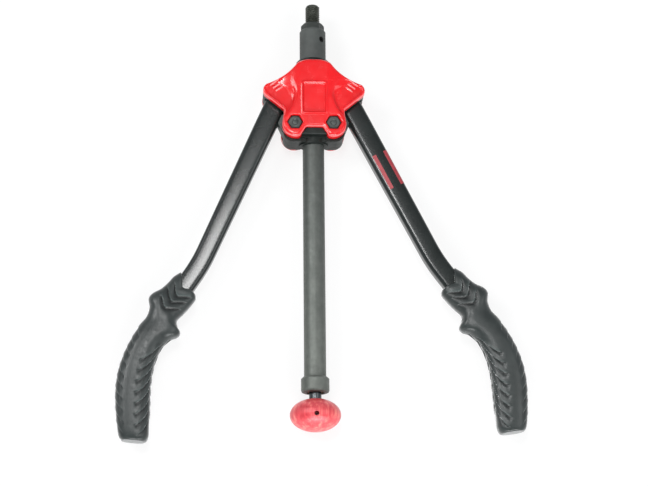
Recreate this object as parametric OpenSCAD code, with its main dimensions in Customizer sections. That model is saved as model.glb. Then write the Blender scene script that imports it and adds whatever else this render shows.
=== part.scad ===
// Hand rivet nut tool with two long arms, drawn lying flat, in millimetres.
// The origin is the middle of the nose's front face. +Y runs out along the
// mandrel, +X to the right arm, and +Z up from the table.

/* [Nose] */
// Outer diameter of the threaded mandrel
mandrel_d = 12; // [8:0.5:13]
// Length of mandrel that stands out of the nose
mandrel_out = 16.5; // [10:0.5:30]
// Chamfer on the mandrel's tip
mandrel_chamfer = 1.5; // [0.5:0.25:2.5]
// Width across flats of the hexagonal nosepiece
nosepiece_af = 17; // [15:0.5:19]
// Height of the nosepiece's hexagon
nosepiece_len = 6; // [4:0.5:9]
// Length of the nosepiece's round shank inside the sleeve
nosepiece_shank = 14; // [11:0.5:14]
// Outer diameter of the nose sleeve
sleeve_d = 22; // [21:0.5:24]
// Diameter of the lock screw in the nose sleeve
lock_screw_d = 5; // [3:0.5:6]
// Angle of the lock screw from the top of the sleeve
lock_screw_angle = 40; // [0:5:80]

/* [Head] */
// Length of nose sleeve that shows in front of the frame
nose_out = 34.5; // [30:0.5:45]
// Distance from the frame's front to the arm pivots
head_len = 59.5; // [58:0.5:70]
// Distance of each arm pivot from the middle line
pivot_x = 16; // [15.5:0.25:18]
// Thickness of the frame casting
frame_t = 23; // [22:0.5:28]
// Thickness of each cheek of the frame beside the slot
cheek_t = 4; // [3:0.25:5]
// Radius of the frame's front flange
flange_r = 14; // [13.5:0.5:16]
// Height of the covers' wings above the frame
wing_h = 6.4; // [5:0.2:7]
// Height of the covers' middle body above the frame
core_h = 8.7; // [8:0.1:12]
// Height of the raised border round the covers' panel
border_h = 0.5; // [0.2:0.1:0.8]
// Width of the sunk panel on the covers
panel_w = 19; // [12:0.5:20]
// Length of the sunk panel on the covers
panel_len = 26; // [15:0.5:28]
// Depth of the sunk panel
panel_depth = 1; // [0.4:0.1:2]
// Diameter of the pivot bolts
bolt_d = 8; // [6:0.5:8]
// Width across flats of the bolt heads and nuts
bolt_af = 11; // [10:0.5:12]
// Height of the bolt heads and nuts
bolt_head_h = 5; // [4:0.25:5.5]

/* [Gearing] */
// Tooth module of the sectors and the rack
tooth_module = 1.5; // [1.4:0.05:1.55]
// Teeth that a whole wheel of the sector's size would have
tooth_count = 12; // [12:1:12]
// Pressure angle of the teeth
pressure = 25; // [22:1:27]
// Play between meshing teeth
backlash = 0.3; // [0.2:0.05:0.5]
// Angle that each arm swings either way from the drawn pose
swing = 25; // [15:1:25]

/* [Arms] */
// Angle of the left arm from the middle line, as drawn
left_open = 24; // [20:0.5:30]
// Angle of the right arm from the middle line, as drawn
right_open = 27; // [20:0.5:30]
// Distance of the arm tube's middle line from its pivot
arm_off = 22.7; // [22:0.1:25]
// Width of the arm tube's front end, seen from above
arm_head_w = 17.8; // [16:0.2:18.4]
// Width of the arm tube at the grip, seen from above
arm_w = 16; // [14:0.2:17]
// Thickness of the arm tube, from top to bottom
arm_t = 13.4; // [11:0.2:14]
// Wall of the arm tube
arm_wall = 1.5; // [1:0.25:2.5]
// Corner radius of the arm tube
arm_corner = 3; // [2:0.2:4]
// Length of the arm tube above the pivot
arm_top = 12; // [10:0.5:13]
// Distance from the pivot to the tip of the grip's mouth
grip_start = 151; // [140:1:170]
// Thickness of the sectors
sector_t = 13; // [10:0.5:13.4]
// Radius of the sectors' hubs
hub_r = 11.25; // [11:0.25:12.5]
// Wall of the bronze bushes in the hubs
bush_wall = 1; // [0.75:0.25:2]

/* [Rear tube and knob] */
// Outer diameter of the rear tube
tube_d = 18; // [16:0.5:19]
// Wall of the rear tube
tube_wall = 1.5; // [1:0.25:2]
// Length of rear tube between the frame and the end ring
tube_len = 195.5; // [150:0.5:240]
// Outer diameter of the end ring
ring_d = 23; // [21:0.5:28]
// Length of the end ring
ring_len = 13; // [10:0.5:20]
// Length of spindle that shows between ring and knob
spindle_gap = 4.5; // [3:0.5:12]
// Diameter of the spindle where it turns in the rear bush
spindle_d = 10; // [8.5:0.25:10.5]
// Diameter of the spindle inside the rack
rod_d = 8; // [6:0.25:8]
// Diameter of the turning knob
knob_d = 41.4; // [36:0.1:41.4]
// Length of the turning knob
knob_len = 27; // [22:0.5:36]
// Diameter of the cross hole and its pin in the knob
knob_pin_d = 3.75; // [2.5:0.25:5]

/* [Hidden] */
// Clearances
slide_gap = 0.06;     // radial, sleeve in frame and shaft in bush
pivot_gap = 0.05;     // radial, bush on bolt
free_gap = 0.3;       // radial, parts that pass without touching
seat_gap = 0.02;      // radial, parts fitted for good
hex_gap = 0.25;       // each side of a bolt head in its pocket
side_gap = 0.1;       // between a hub and its thrust washer
shank_relief = 0.6;   // radial, plain part of the mandrel below its thread
overcut = 1;          // how far a cut runs past a face

// Places along the middle line
frame_front = -nose_out;
pivot_y = frame_front - head_len;
cover_top = frame_front - 3.9;
notch_y = pivot_y - 3.9;
chamber_end = pivot_y - 10.5;
block_back = pivot_y - 9.6;
boss_back = pivot_y - 15.5;
boss_r = tube_d/2 + 3;
tube_front = chamber_end;
web_back = boss_back - 0.2;
ring_front = web_back - tube_len;
ring_back = ring_front - ring_len;
knob_front = ring_back - spindle_gap;
knob_mid = knob_front - knob_len/2;
pin_y = knob_mid - 1.5;

// Heights
frame_z = frame_t/2;
slot_z = frame_z - cheek_t;
wing_z = frame_z + wing_h;
core_z = frame_z + core_h;
block_z = frame_z + 5.5;
valley_z = frame_z - 1.6;
bolt_seat = 2.5;
bolt_top = frame_z + bolt_seat + bolt_head_h;
washer_t = slot_z - sector_t/2 - side_gap;

// Teeth
pitch_r = tooth_module*tooth_count/2;
base_r = pitch_r*cos(pressure);
addendum = 0.8*tooth_module;
dedendum = tooth_module;
tip_r = pitch_r + addendum;
root_r = pitch_r - dedendum;
rack_pitch = PI*tooth_module;
rack_pitch_x = pivot_x - pitch_r;
rack_tip_x = rack_pitch_x + addendum;
rack_root_x = rack_pitch_x - dedendum;
travel = pitch_r*swing*PI/180;

// Moving sleeve and rack
rack_r = rack_tip_x + 1.8;
chamber_r = rack_r + free_gap;
sleeve_r = sleeve_d/2;
sleeve_bore = sleeve_r - 2.9;
rack_back = chamber_end + travel + 0.2;
rack_teeth_front = pivot_y + hub_r + travel + 0.6;
rack_shoulder = frame_front - 21.5;
sleeve_stop = rack_shoulder - travel - 0.8;
spigot_front = rack_shoulder + 10;
shank_back = -nosepiece_len - nosepiece_shank;
coupler_front = shank_back - travel - 0.6;
coupler_back = spigot_front + travel + 0.6;
coupler_r = sleeve_bore - free_gap;
shank_r = mandrel_d/2 - shank_relief;
nose_cone = 2;

// Arm tube, seen from above
arm_in = arm_off - arm_w/2;
arm_out = arm_off + arm_w/2;
head_in = arm_off - arm_head_w/2;
head_out = arm_off + arm_head_w/2;
taper_start = 10;
arm_sweep_r = norm([arm_top, head_out]) + 0.8;
weld_up = 5;
weld_low = 3;
weld_corner_low = [-head_in, -weld_low];
weld_corner_up = [-head_in, weld_up];
hub_slot_r = hub_r + 0.6;
bend_start = grip_start - 23;
bend_out = 10;
bend_out_r = 130;
bend_back = 37;
bend_back_r = 150;
neck_straight = 37;

// Grip: places along the arm from the mouth's tip, and how far the rubber
// stands out from the straight tube's outer and inner side
grip_outer = [[1, 4], [7, 7.7], [13, 9.5], [20, 12.5], [26.5, 17.3], [32, 18.3], [38.5, 14.6],
    [46, 13.6], [53.6, 15.5], [61, 16.6], [71, 17.7], [82, 17.7], [96, 15.9], [110, 11.8],
    [122, 6.2], [132, 0.3], [140, -4.7], [144.6, -8.5], [146.3, -12]];
grip_inner = [[12, -0.5], [15, 0.6], [20, -0.2], [26, -1.6], [32, -3.5], [38.5, -5.7], [43.5, -3],
    [47, 0.9], [51, 0.2], [56, -4.5], [65, -7.7], [79, -7.1], [93, -3.6], [106, 1.6],
    [117, 6.3], [126, 10], [133.5, 12.8], [138, 12.6], [140.2, 10.6]];
grip_half = [2.4, 2.9, 3.1, 3.3, 3.6, 3.8, 3.8, 4, 4.4, 4.8, 5.2, 5.4, 5.4, 5.2, 5, 4.8, 4.5, 3.8, 2.6];
// Cut-out of the grip's mouth round the tube, from the tube's inner side
grip_mouth = [[4, 2], [-20, 2], [-17.1, -6.1], [-13, -14.2], [-5.1, -13.3], [2.5, -17.5], [6, -16]];
grip_steps = 3;
grip_sides = 18;
grip_square = 2.7;

$fn = 64;

// Colours
cast_black = [0.20, 0.21, 0.20];
cover_red = [0.85, 0.10, 0.10];
arm_black = [0.12, 0.13, 0.13];
rubber = [0.22, 0.24, 0.24];
knob_red = [0.75, 0.30, 0.32];
steel = [0.62, 0.63, 0.62];
bronze = [0.72, 0.55, 0.30];

// A point at radius r and angle a
function polar(r, a) = [r*cos(a), r*sin(a)];

// Points of an arc round c, both ends included
function arc(c, r, a0, a1, n) = [for (i = [0:n]) c + polar(r, a0 + (a1 - a0)*i/n)];

// Direction of the line from point p that touches a circle, on side +1 or -1
function tangent_dir(p, c, r, side) =
    atan2(c[1] - p[1], c[0] - p[0]) + side*asin(r/norm(c - p));

// Where that line touches the circle
function tangent_point(p, c, r, side) =
    p + polar(sqrt(pow(norm(c - p), 2) - r*r), tangent_dir(p, c, r, side));

// Far crossing of a circle by the line from p towards q
function far_crossing(p, q, c, r) =
    let (u = (q - p)/norm(q - p), f = p - c, b = f*u)
    p + u*(-b + sqrt(b*b - f*f + r*r));

// Points of an arc from a to b that bows to the right by sag
function bowed(a, b, sag, n) =
    let (h = norm(b - a)/2, r = (h*h + sag*sag)/(2*sag), u = (b - a)/(2*h),
        m = (a + b)/2 + [-u[1], u[0]]*(r - sag),
        s = atan2(a[1] - m[1], a[0] - m[0]), w = 2*asin(h/r))
    [for (i = [0:n]) m + polar(r, s + w*i/n)];

// Angle of point p seen from c
function bearing(c, p) = atan2(p[1] - c[1], p[0] - c[0]);

// An outline given by its right half, from bottom to top, and its mirror image
function both_halves(half) =
    concat(half, [for (i = [len(half) - 1:-1:0]) [-half[i][0], half[i][1]]]);

// Unit normal that points out of a counter-clockwise outline's edge
function edge_normal(a, b) = [b[1] - a[1], a[0] - b[0]]/norm(b - a);

// A counter-clockwise outline moved inwards by d
function inset(pts, d) = let (n = len(pts))
    [for (i = [0:n - 1])
        let (n1 = edge_normal(pts[(i + n - 1) % n], pts[i]),
            n2 = edge_normal(pts[i], pts[(i + 1) % n]))
        pts[i] - d*(n1 + n2)/(1 + n1*n2)];

// Smooth curve through the knots, with k steps between two knots
function knot(v, i) = v[max(0, min(len(v) - 1, i))];
function blend(a, b, c, d, t) =
    (2*b + (c - a)*t + (2*a - 5*b + 4*c - d)*t*t + (3*b - a - 3*c + d)*t*t*t)/2;
function smooth(v, k) = concat(
    [for (i = [0:len(v) - 2], j = [0:k - 1])
        blend(knot(v, i - 1), v[i], v[i + 1], knot(v, i + 2), j/k)],
    [v[len(v) - 1]]);

// Outline of the covers, right half from the notch to the top
wing_c = [pivot_x + 20, pivot_y + 28.7];
wing_r = 6.5;
waist = [pivot_x + 8.9, pivot_y + 11.4];
lobe_c = [pivot_x - 0.4, pivot_y - 1];
lobe_r = 11.1;
notch_half = 7;
notch_foot = [pivot_x - 3.8, pivot_y - 12];
shoulder = [14.3, cover_top - 3.5];
front_corner = [for (p = [[13.3, 2.6], [12, 1.8], [10.6, 1.2], [9, 0.75], [5, 0.2]])
    [p[0], cover_top - p[1]]];
wing_low = tangent_point(waist, wing_c, wing_r, -1);
wing_high = tangent_point(shoulder, wing_c, wing_r, 1);
shoulder_curve = bowed(shoulder, wing_high, 2.2, 10);
wing_edge = arc(wing_c, wing_r, bearing(wing_c, wing_low), bearing(wing_c, wing_high), 8);

// The lobe round a pivot, moved back by drop: its centre, and its ends at
// the notch and at the waist
function lobe_at(drop) = lobe_c - [0, drop];
function notch_end(drop) =
    far_crossing([notch_half, notch_y], notch_foot - [0, drop], lobe_at(drop), lobe_r);
function waist_end(drop) = tangent_point(waist, lobe_at(drop), lobe_r, 1);

function head_half(drop) = let (c = lobe_at(drop), side = waist_end(drop)) concat(
    [[notch_half, notch_y]],
    arc(c, lobe_r, bearing(c, notch_end(drop)), bearing(c, side), 11),
    [waist + 0.55*(side - waist)/2, waist + [0.35, 0.1], waist + (wing_low - waist)/12],
    wing_edge,
    [for (i = [9:-1:0]) shoulder_curve[i]],
    front_corner);

// Outline of the covers' raised middle body at its foot
core_side = smooth([[pivot_x + 9.7, pivot_y + 5], [pivot_x + 6, pivot_y + 9.5],
    [pivot_x + 2.6, pivot_y + 15], [pivot_x + 0.4, pivot_y + 21], [pivot_x - 0.2, pivot_y + 28],
    [pivot_x + 0.6, pivot_y + 35], [pivot_x + 1.6, pivot_y + 42], [pivot_x - 0.3, pivot_y + 48.4]], 3);
function core_half(drop) = let (c = lobe_at(drop)) concat(
    [[notch_half - 0.3, notch_y + 0.3]],
    arc(c, lobe_r - 0.3, bearing(c, notch_end(drop)) + 1.5, 14 + 3*drop, 11),
    core_side,
    [front_corner[2] - [0, 0.4], front_corner[3] - [0, 0.3], front_corner[4] - [0, 0.3]]);

// Outline of the frame: the covers' shoulders and wings over longer lobes
frame_lobe_r = 8;
frame_lobe_c = [pivot_x + 1.5, pivot_y - 6.5];
frame_half = concat(
    arc(frame_lobe_c, frame_lobe_r, -90, 0, 10),
    [waist + [-0.3, 0.2]],
    arc(wing_c, wing_r - 0.2, bearing(wing_c, wing_low), bearing(wing_c, wing_high), 8),
    [for (i = [9:-1:0]) shoulder_curve[i] - [0.2, 0.2]],
    [for (p = front_corner) p - [0, 0.2]]);
frame_outline = both_halves(frame_half);

// A round bar along the middle line, from y0 to y1
module along_y(r, y0, y1) {
    translate([0, y0, 0]) rotate([-90, 0, 0]) cylinder(r = r, h = y1 - y0);
}

// A turned piece on the middle line; its profile holds [radius, y]
module turned(profile) {
    rotate([-90, 0, 0]) rotate_extrude() polygon(profile);
}

// Puts a child on both pivots
module both_pivots() {
    for (side = [-1, 1]) translate([side*pivot_x, pivot_y, 0]) children();
}

// A slab whose upper edge is rounded
module rounded_slab(pts, z0, z1, r) {
    n = len(pts);
    levels = concat([[0, z0]], [for (a = [0:22.5:90]) [r*(1 - cos(a)), z1 - r + r*sin(a)]]);
    points = [for (l = levels) for (p = inset(pts, l[0])) [p[0], p[1], l[1]]];
    last = len(levels) - 1;
    polyhedron(points, concat(
        [[for (i = [0:n - 1]) i]],
        [for (k = [0:last - 1], i = [0:n - 1])
            let (j = (i + 1) % n) [k*n + i, (k + 1)*n + i, (k + 1)*n + j, k*n + j]],
        [[for (i = [n - 1:-1:0]) last*n + i]]));
}

// Frame casting

// Angles of the slot on the side of an arm that is drawn open by a
function slot_from(a) = min(180 - atan(arm_top/head_in), bearing([0, 0], weld_corner_up)
    - acos(hub_r/norm(weld_corner_up)) + acos(hub_r/hub_slot_r)) - a - swing - 4;
function slot_to(a) = 360 + bearing([0, 0], weld_corner_low) - a + swing
    + acos(hub_r/norm(weld_corner_low)) - acos(hub_r/hub_slot_r) + 4;

module pie(r, a0, a1) {
    polygon(concat([[0, 0]], arc([0, 0], r, a0, a1, 24)));
}

// The slot that one arm swings in, seen from above, left side
module arm_slot(a) {
    translate([-pivot_x, pivot_y]) {
        pie(arm_sweep_r, slot_from(a), slot_to(a));
        circle(hub_slot_r);
    }
}

module center_frame() color(cast_black) difference() {
    union() {
        translate([0, 0, -frame_z]) linear_extrude(frame_t) polygon(frame_outline);
        along_y(flange_r - 1, rack_shoulder, cover_top);
        turned([[0, cover_top], [flange_r, cover_top], [flange_r, frame_front - 1],
            [flange_r - 1, frame_front], [0, frame_front]]);
        along_y(boss_r, boss_back, pivot_y);
        notch_block(0);
        mirror([0, 0, 1]) notch_block(rear_lobe_drop);
    }
    translate([0, 0, -slot_z]) linear_extrude(2*slot_z) {
        arm_slot(left_open);
        mirror([1, 0]) arm_slot(right_open);
    }
    along_y(chamber_r, chamber_end, sleeve_stop + overcut);
    along_y(sleeve_r + slide_gap, sleeve_stop, frame_front + overcut);
    along_y(tube_d/2 + seat_gap, web_back - overcut, chamber_end + overcut);
    both_pivots() cylinder(r = bolt_d/2 + seat_gap, h = frame_t + 2*overcut, center = true);
    for (side = [-1, 1]) valley(side);
}

// The shallow hollow between the lobes, above and below the tube's collar
module valley(side) {
    difference() {
        translate([0, boss_back, side*(valley_z + frame_z)])
            cube([2*notch_half + 7, 9, 2*frame_z], center = true);
        along_y(boss_r, boss_back - 5, pivot_y);
    }
}

// Half the width of the covers' notch at y
function notch_side(drop, y) = notch_half
    + (notch_foot[0] - notch_half)*(notch_y - y)/(notch_y - notch_foot[1] + drop);

// Raised block that fills the notch of a cover whose lobes are moved back by drop
module notch_block(drop) {
    front = notch_y - free_gap;
    hull() for (h = [[0, block_z - 0.6], [0.6, block_z]])
        linear_extrude(h[1]) polygon(both_halves([
            [notch_side(drop, block_back) - free_gap - h[0], block_back + h[0]],
            [notch_side(drop, front) - free_gap - h[0], front]]));
}

// Covers

// Sunk field of the wings, between their rim and the middle body
module wing_field(drop) {
    difference() {
        polygon(inset(both_halves(head_half(drop)), 2.4));
        polygon(inset(both_halves(core_half(drop)), -1));
    }
}

// A bar with round ends and a rounded back, from point a to point b
module bar(a, b, r) {
    hull() for (p = [a, b]) translate([p[0], p[1], wing_field_z]) {
        cylinder(r = r, h = bar_h*0.5, $fn = 16);
        cylinder(r = r*0.6, h = bar_h, $fn = 16);
    }
}

// Plain raised bars across each wing, along its shoulder
module wing_bars() {
    along = (wing_high - shoulder)/norm(wing_high - shoulder);
    across = [-along[1], along[0]];
    for (side = [0, 1], k = [0:bar_count - 1]) mirror([side, 0, 0]) {
        middle = wing_c - along*bar_inset + across*(bar_pitch*(bar_count - 1)/2 - k*bar_pitch);
        bar(middle - along*bar_len/2, middle + along*(bar_len/2 - k), bar_w/2);
    }
}
bar_count = 3;
bar_pitch = 3.4;
bar_inset = 6;
bar_len = 9;
bar_w = 1.2;
bar_h = 0.7;
wing_field_z = wing_z - 0.8;

// The panel's corner posts, hulled into a plate with round corners
module panel_plate(w, len, r, h) {
    hull() for (x = [-1, 1], y = [-1, 1])
        translate([x*(w/2 - r), y*(len/2 - r)]) cylinder(r = r, h = h, $fn = 32);
}

// The upper cover, with its lobes moved back by drop
module cover(drop) color(cover_red) difference() {
    union() {
        rounded_slab(both_halves(head_half(drop)), frame_z, wing_z, 1.4);
        rounded_slab(both_halves(core_half(drop)), frame_z, core_z, 2.8);
        translate([0, panel_y, core_z - overcut])
            panel_plate(panel_w + 2.4, panel_len + 2.4, 2, border_h + overcut);
        wing_bars();
    }
    difference() {
        translate([0, 0, wing_field_z]) linear_extrude(2) wing_field(drop);
        wing_bars();
    }
    translate([0, panel_y, core_z - panel_depth])
        panel_plate(panel_w, panel_len, 1.2, panel_depth + 2);
    along_y(flange_r - 1 + seat_gap, rack_shoulder - 0.5, cover_top + overcut);
    both_pivots() {
        translate([0, 0, frame_z + bolt_seat])
            cylinder(d = (bolt_af + 2*hex_gap)/cos(30), h = core_h, $fn = 6);
        cylinder(r = bolt_d/2 + seat_gap, h = bolt_top);
    }
    along_y(boss_r + seat_gap, notch_y - overcut, pivot_y + 1);
}
panel_ahead = 21.4;
panel_y = pivot_y + panel_ahead;

module front_cover() { cover(0); }
module rear_cover() { mirror([0, 0, 1]) cover(rear_lobe_drop); }
rear_lobe_drop = 1.2;

// Pivot bolts, nuts and thrust washers

// Hexagon with its outer corners turned off, from z = 0 up to h
module hexagon(af, h) {
    intersection() {
        cylinder(d = af/cos(30), h = h, $fn = 6);
        cylinder(r1 = af/2 + h*1.7, r2 = af/2*0.97, h = h);
    }
}

module pivot_bolts() color(steel) both_pivots() {
    difference() {
        translate([0, 0, frame_z + bolt_seat]) hexagon(bolt_af, bolt_head_h);
        translate([0, 0, bolt_top - 0.6]) cylinder(d = bolt_af*0.68, h = 1);
    }
    translate([0, 0, -bolt_top + 0.8])
        cylinder(d = bolt_d, h = bolt_top - 0.8 + frame_z + bolt_seat);
}

module pivot_nuts() color(steel) both_pivots() {
    difference() {
        mirror([0, 0, 1]) translate([0, 0, frame_z + bolt_seat]) hexagon(bolt_af, bolt_head_h);
        translate([0, 0, -bolt_top - overcut])
            cylinder(r = bolt_d/2 + seat_gap, h = bolt_head_h + 2*overcut);
    }
}

module pivot_washers() color(bronze) both_pivots() {
    for (z = [-slot_z, slot_z - washer_t]) translate([0, 0, z]) difference() {
        cylinder(r = bolt_d/2 + 3.5, h = washer_t);
        translate([0, 0, -overcut])
            cylinder(r = bolt_d/2 + seat_gap, h = washer_t + 2*overcut);
    }
}

// Rear tube and what sits in it

module rear_tube() color(cast_black) difference() {
    along_y(tube_d/2, ring_front - ring_len + 5, tube_front);
    along_y(tube_bore, ring_front - ring_len, web_back);
    along_y(rod_d/2 + slide_gap, web_back - overcut, tube_front + overcut);
}
tube_bore = tube_d/2 - tube_wall;

module thrust_washer() color(bronze) difference() {
    along_y(tube_bore - free_gap, web_back - 1.2, web_back);
    along_y(rod_d/2 + free_gap, web_back - 2, web_back + overcut);
}

// Ring that holds the thrust collar from behind
module tube_circlip() color(steel) difference() {
    along_y(tube_bore, collar_back - 1.4, collar_back - 0.2);
    along_y(tube_bore - 1.6, collar_back - 2, collar_back + overcut);
    translate([0, collar_back - 0.8, -tube_bore]) cube([2, 3, tube_bore], center = true);
}
collar_front = web_back - 1.3;
collar_back = collar_front - 6;

module end_ring() color(cast_black) difference() {
    r = ring_d/2;
    turned([[0, ring_back], [r - 2, ring_back], [r - 0.6, ring_back + 0.6],
        [r, ring_back + 2], [r, ring_front - 1.6], [r - 1.6, ring_front], [0, ring_front]]);
    along_y(tube_d/2 + seat_gap, ring_back + 5, ring_front + overcut);
    along_y(tube_bore, ring_back - overcut, ring_front);
}

module rear_bush() color(bronze) difference() {
    along_y(tube_bore - seat_gap, ring_back + 1.2, ring_front + 4);
    along_y(spindle_d/2 + slide_gap, ring_back, ring_front + 5);
}

// Arms. Each arm is drawn pointing down, -Y, from its pivot at the origin,
// with the left arm's outer side towards -X

module on_left() {
    translate([-pivot_x, pivot_y, 0]) rotate([0, 0, -left_open]) children();
}

module on_right() {
    mirror([1, 0, 0]) translate([-pivot_x, pivot_y, 0]) rotate([0, 0, -right_open]) children();
}

// Involute tooth that points along +X
function involute(a) = tan(a)*180/PI - a;
function half_tooth(r) = (rack_pitch/2 - backlash)/2/pitch_r*180/PI
    + involute(pressure) - involute(acos(min(1, base_r/r)));

module tooth() {
    radii = concat([root_r - 0.5, base_r], [for (i = [1:5]) base_r + (tip_r - base_r)*i/5]);
    polygon(concat(
        [for (r = radii) polar(r, -half_tooth(r))],
        [for (i = [len(radii) - 1:-1:0]) polar(radii[i], half_tooth(radii[i]))]));
}

// Sector of an arm that is drawn open by a
module sector(a) color(steel) {
    translate([0, 0, -sector_t/2]) linear_extrude(sector_t) difference() {
        union() {
            circle(root_r);
            rotate(a) {
                for (k = [-2:2]) rotate(k*360/tooth_count) tooth();
                pie(hub_r, 80, 280);
            }
            polygon([[0, 0], tangent_point(weld_corner_up, [0, 0], hub_r, 1), weld_corner_up,
                weld_corner_low, tangent_point(weld_corner_low, [0, 0], hub_r, -1)]);
        }
        circle(bolt_d/2 + bush_wall + seat_gap);
    }
}

module bush() color(bronze) difference() {
    cylinder(r = bolt_d/2 + bush_wall, h = sector_t, center = true);
    cylinder(r = bolt_d/2 + pivot_gap, h = sector_t + 2, center = true);
}

// A closed solid through rings of n points each
module loft(rings) {
    n = len(rings[0]);
    last = len(rings) - 1;
    polyhedron([for (ring = rings) each ring], concat(
        [[for (i = [n - 1:-1:0]) i]],
        [for (k = [0:last - 1], i = [0:n - 1])
            let (j = (i + 1) % n) [k*n + i, k*n + j, (k + 1)*n + j, (k + 1)*n + i]],
        [[for (i = [0:n - 1]) last*n + i]]));
}

// Section of the arm tube of a given width, shrunk on every side, as [across, up]
function arm_section(width, shrink) =
    let (w = width/2 - shrink, t = arm_t/2 - shrink, r = max(arm_corner - shrink, 0.3), n = 4)
    [for (q = [0:3], i = [0:n])
        let (a = 180 - 90*q - 90*i/n, x = q == 0 || q == 3 ? -1 : 1, z = q < 2 ? 1 : -1)
        [x*(w - r) + r*cos(a), z*(t - r) + r*sin(a)]];

// Places [x, y, heading] along the arm; a heading is the angle that the
// tube points outwards from its straight run
function ahead(p, d) = [p[0] - d*sin(p[2]), p[1] - d*cos(p[2]), p[2]];
function turn(p, to, r, n) = let (side = sign(to - p[2]))
    [for (i = [1:n]) let (h = p[2] + (to - p[2])*i/n)
        [p[0] + side*r*(cos(h) - cos(p[2])), p[1] - side*r*(sin(h) - sin(p[2])), h]];
first_bend = turn([-arm_off, -bend_start, 0], bend_out, bend_out_r, 3);
neck_end = ahead(first_bend[len(first_bend) - 1], neck_straight);
second_bend = turn(neck_end, bend_out - bend_back, bend_back_r, 8);
arm_foot = second_bend[len(second_bend) - 1];

// The arm tube's outer or inner surface, from top above the pivot
module arm_run(shrink, top, tail) {
    path = concat([[-arm_off, top, 0], [-arm_off, -taper_start, 0], [-arm_off, -bend_start, 0]],
        first_bend, [neck_end], second_bend, [ahead(arm_foot, tail)]);
    loft([for (i = [0:len(path) - 1]) let (p = path[i])
        [for (q = arm_section(i < 2 ? arm_head_w : arm_w, shrink))
            [p[0] + q[0]*cos(p[2]), p[1] - q[0]*sin(p[2]), q[1]]]]);
}

module arm_tube() color(arm_black) difference() {
    arm_run(0, arm_top, 1);
    arm_run(arm_wall, arm_top - 2*arm_wall, 2);
}

// Points of one ring round the grip, from its outer to its inner edge
function grip_ring(o, i, h) =
    let (m = (o + i)/2, u = (o - i)/2)
    [for (k = [0:grip_sides - 1])
        let (c = cos(360*k/grip_sides), s = sin(360*k/grip_sides),
            x = sign(c)*pow(abs(c), 2/grip_square), z = sign(s)*pow(abs(s), 2/grip_square))
        [m[0] + u[0]*x, m[1] + u[1]*x, h*z]];

module grip_body() {
    outer = smooth([for (p = grip_outer) [-arm_out - p[1], -grip_start - p[0]]], grip_steps);
    inner = smooth([for (p = grip_inner) [-arm_in + p[1], -grip_start - p[0]]], grip_steps);
    half = smooth([for (h = grip_half) arm_t/2 + h], grip_steps);
    loft([for (i = [0:len(outer) - 1]) grip_ring(outer[i], inner[i], half[i])]);
}

module grip() color(rubber) difference() {
    grip_body();
    arm_run(-seat_gap, 0, 1 + seat_gap);
    translate([-arm_in, -grip_start, -arm_t]) linear_extrude(2*arm_t) polygon(grip_mouth);
}

module left_sector() { on_left() sector(left_open); }
module left_bush() { on_left() bush(); }
module left_arm_tube() { on_left() arm_tube(); }
module left_grip() { on_left() grip(); }
module right_sector() { on_right() sector(right_open); }
module right_bush() { on_right() bush(); }
module right_arm_tube() { on_right() arm_tube(); }
module right_grip() { on_right() grip(); }

// Sliding nose

// Spaces between the rack's teeth on the right side, seen from above
module rack_spaces() {
    w = (rack_pitch/2 + backlash/2)/2;
    slope = tan(pressure);
    for (k = [-2:4]) translate([0, pivot_y + k*rack_pitch]) polygon([
        [rack_root_x, -w + dedendum*slope], [rack_root_x, w - dedendum*slope],
        [rack_tip_x + 1, w + (addendum + 1)*slope], [rack_tip_x + 1, -w - (addendum + 1)*slope]]);
}

module rack_sleeve() color(steel) difference() {
    union() {
        along_y(rack_r, rack_back, rack_shoulder);
        along_y(sleeve_bore - seat_gap, rack_shoulder, spigot_front);
    }
    along_y(rod_d/2 + free_gap, rack_back - overcut, spigot_front + overcut);
    for (side = [0, 1]) mirror([side, 0, 0]) {
        translate([rack_tip_x, rack_back - overcut, -rack_r])
            cube([rack_r, rack_teeth_front - rack_back + overcut, 2*rack_r]);
        intersection() {
            translate([0, 0, -rack_r]) linear_extrude(2*rack_r) rack_spaces();
            translate([0, rack_back - overcut, -rack_r])
                cube([2*rack_r, rack_teeth_front - rack_back + overcut, 2*rack_r]);
        }
    }
}

module nose_sleeve() color(steel) difference() {
    turned([[0, rack_shoulder], [sleeve_r, rack_shoulder],
        [sleeve_r, -nosepiece_len - nose_cone], [sleeve_r - nose_cone*0.7, -nosepiece_len],
        [0, -nosepiece_len]]);
    along_y(sleeve_bore, rack_shoulder - overcut, overcut - nosepiece_len);
    lock_hole(lock_screw_d/2 + seat_gap, sleeve_bore - 2, sleeve_r + overcut);
}

nosepiece_cone = 2;

// Radial cylinder through the sleeve's wall at the lock screw
module lock_hole(r, from, to) {
    translate([0, -nosepiece_len - 10.6, 0]) rotate([0, lock_screw_angle, 0])
        translate([0, 0, from]) cylinder(r = r, h = to - from);
}

module nosepiece() color(steel) difference() {
    union() {
        intersection() {
            rotate([90, 0, 0]) cylinder(d = nosepiece_af/cos(30), h = nosepiece_len, $fn = 6);
            turned([[0, -nosepiece_len - 1], [nosepiece_af*0.6, -nosepiece_len - 1],
                [nosepiece_af*0.6, -nosepiece_cone], [nosepiece_af*0.6 - nosepiece_cone*1.3, 0], [0, 0]]);
        }
        along_y(sleeve_bore - seat_gap, shank_back, overcut - nosepiece_len);
    }
    along_y(mandrel_d/2 + slide_gap, shank_back - overcut, overcut);
}

module lock_screw() color(steel) difference() {
    lock_hole(lock_screw_d/2, sleeve_bore + 0.1, sleeve_r - 0.6);
    translate([0, -nosepiece_len - 10.6, 0]) rotate([0, lock_screw_angle, 0])
        translate([0, 0, sleeve_r - 2]) cylinder(d = lock_screw_d*0.55, h = 3, $fn = 6);
}

// Turning spindle

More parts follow.
